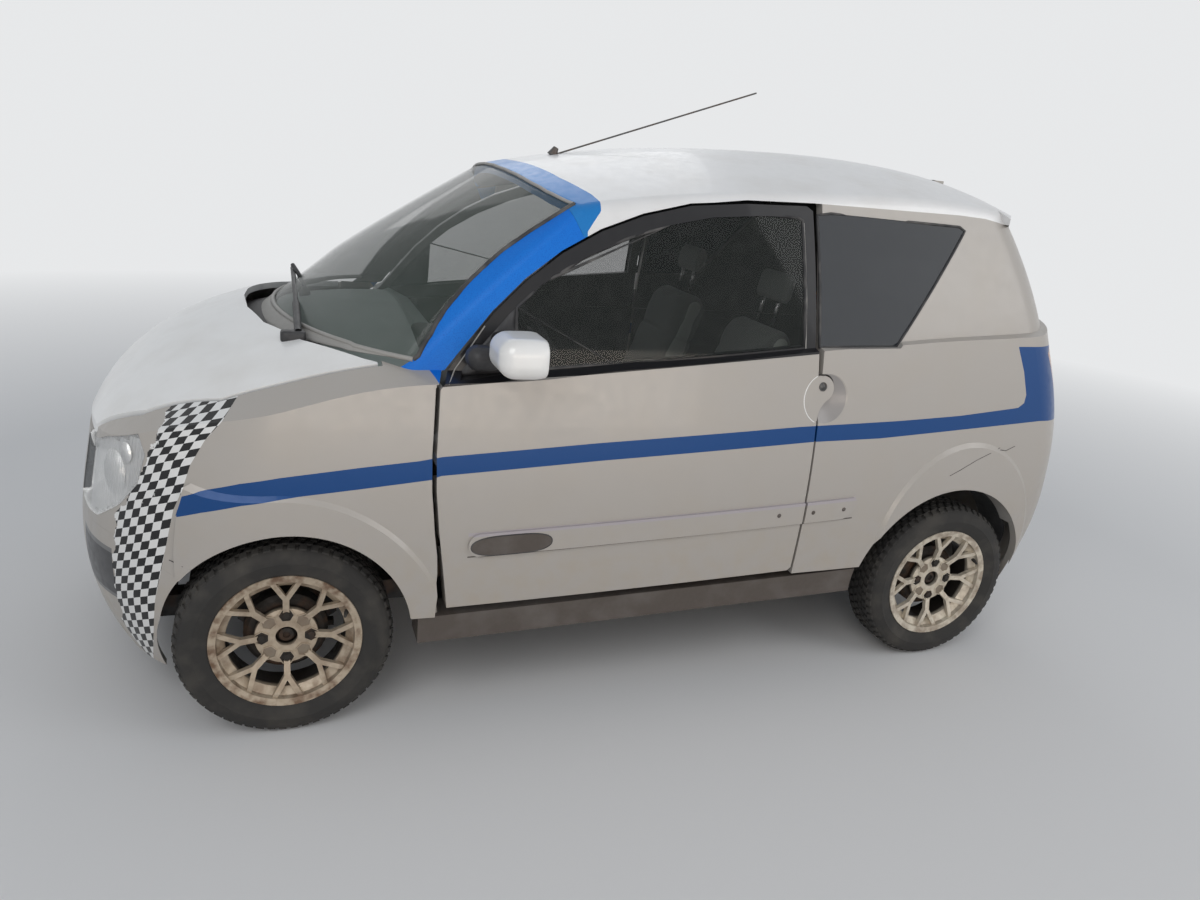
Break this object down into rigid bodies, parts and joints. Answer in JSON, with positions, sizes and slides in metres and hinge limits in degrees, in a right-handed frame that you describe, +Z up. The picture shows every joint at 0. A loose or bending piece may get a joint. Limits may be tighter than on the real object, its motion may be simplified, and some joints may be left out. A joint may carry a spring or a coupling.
{
  "type": "microcar",
  "caption": "Short two-seat microcar with doors, bonnet and tailgate that open, steered front wheels and alloy mesh wheels.",
  "frame": {"origin": "on the ground under the middle of the car", "axes": "+X towards the rear of the car, +Y towards its right side, +Z up"},
  "size_m": [2.92, 1.736, 1.6715],
  "materials": {
    "paint": "silver-white gloss",
    "paint_white": "white gloss",
    "blue_foil": "blue patterned foil",
    "dark_plastic": "matt",
    "grey_plastic": "matt",
    "frame_steel": "satin black",
    "engine_iron": "raw",
    "exhaust_steel": "aged",
    "glass": "clear",
    "tinted_glass": "dark tint",
    "lamp_clear": "clear",
    "lamp_red": "red",
    "alloy": "painted, worn",
    "rubber": "matt",
    "iron": "aged",
    "steel": "aged",
    "seat_cloth": "woven"
  },
  "bodies": {
    "body": {"chassis_frame": "frame_steel", "floor_pan": "dark_plastic", "bulkhead": "frame_steel", "engine_block": "engine_iron", "exhaust": "exhaust_steel", "wing_left": "paint", "wing_right": "paint", "bumper_front": "paint", "headlamps": "lamp_clear", "cowl": "dark_plastic", "windscreen": "glass", "roof": "paint_white", "pillar_left": "blue_foil", "pillar_right": "blue_foil", "quarter_left": "paint", "quarter_right": "paint", "quarter_glass": "tinted_glass", "bumper_rear": "paint", "tail_lamps": "lamp_red", "sills": "grey_plastic", "dashboard": "dark_plastic", "steering_column": "dark_plastic", "seat_left": "seat_cloth", "seat_right": "seat_cloth", "front_suspension": "frame_steel", "rear_axle": "frame_steel", "wheel_liners": "dark_plastic", "aerial": "steel"},
    "bonnet": {"bonnet": "paint_white"},
    "tailgate": {"tailgate": "paint", "tailgate_glass": "tinted_glass"},
    "door_left": {"door_left": "paint", "door_glass_left": "glass", "mirror_left": "paint_white"},
    "door_right": {"door_right": "paint", "door_glass_right": "glass", "mirror_right": "paint_white"},
    "steering_wheel": {"steering_wheel": "dark_plastic"},
    "knuckle_left": {"knuckle_left": "iron"},
    "knuckle_right": {"knuckle_right": "iron"},
    "wheel_front_left": {"rim_front_left": "alloy", "tyre_front_left": "rubber", "brake_drum_front_left": "iron"},
    "wheel_front_right": {"rim_front_right": "alloy", "tyre_front_right": "rubber", "brake_drum_front_right": "iron"},
    "wheel_rear_left": {"rim_rear_left": "alloy", "tyre_rear_left": "rubber", "brake_drum_rear_left": "iron"},
    "wheel_rear_right": {"rim_rear_right": "alloy", "tyre_rear_right": "rubber", "brake_drum_rear_right": "iron"}
  },
  "joints": [
    {"name": "door_left_hinge", "type": "hinge", "parent": "body", "child": "door_left", "pos_m": [-0.578, -0.712, 0.595], "axis": [0, 0, -1], "range_deg": [0, 65]},
    {"name": "door_right_hinge", "type": "hinge", "parent": "body", "child": "door_right", "pos_m": [-0.578, 0.712, 0.595], "axis": [0, 0, 1], "range_deg": [0, 65]},
    {"name": "bonnet_hinge", "type": "hinge", "parent": "body", "child": "bonnet", "pos_m": [-1.38, 0, 0.7], "axis": [0, -1, 0], "range_deg": [0, 50]},
    {"name": "tailgate_hinge", "type": "hinge", "parent": "body", "child": "tailgate", "pos_m": [1.153, 0, 1.457], "axis": [0, -1, 0], "range_deg": [0, 75]},
    {"name": "steer_left", "type": "hinge", "parent": "body", "child": "knuckle_left", "pos_m": [-0.95, -0.53, 0.256], "axis": [0, 0, 1], "range_deg": [-30, 30]},
    {"name": "steer_right", "type": "hinge", "parent": "body", "child": "knuckle_right", "pos_m": [-0.95, 0.53, 0.256], "axis": [0, 0, 1], "range_deg": [-30, 30]},
    {"name": "steering_wheel_turn", "type": "hinge", "parent": "body", "child": "steering_wheel", "pos_m": [-0.262, -0.3, 0.925], "axis": [0.8387, 0, 0.5446], "range_deg": [-480, 480]},
    {"name": "wheel_front_left_spin", "type": "hinge", "parent": "knuckle_left", "child": "wheel_front_left", "pos_m": [-0.95, -0.627, 0.256], "axis": [0, -1, 0], "continuous": true},
    {"name": "wheel_front_right_spin", "type": "hinge", "parent": "knuckle_right", "child": "wheel_front_right", "pos_m": [-0.95, 0.627, 0.256], "axis": [0, -1, 0], "continuous": true},
    {"name": "wheel_rear_left_spin", "type": "hinge", "parent": "body", "child": "wheel_rear_left", "pos_m": [1, -0.627, 0.256], "axis": [0, -1, 0], "continuous": true},
    {"name": "wheel_rear_right_spin", "type": "hinge", "parent": "body", "child": "wheel_rear_right", "pos_m": [1, 0.627, 0.256], "axis": [0, -1, 0], "continuous": true}
  ],
  "couplings": [
    {"joint": "steer_right", "follows": "steer_left", "ratio": 1},
    {"joint": "steering_wheel_turn", "follows": "steer_left", "ratio": 16}
  ]
}
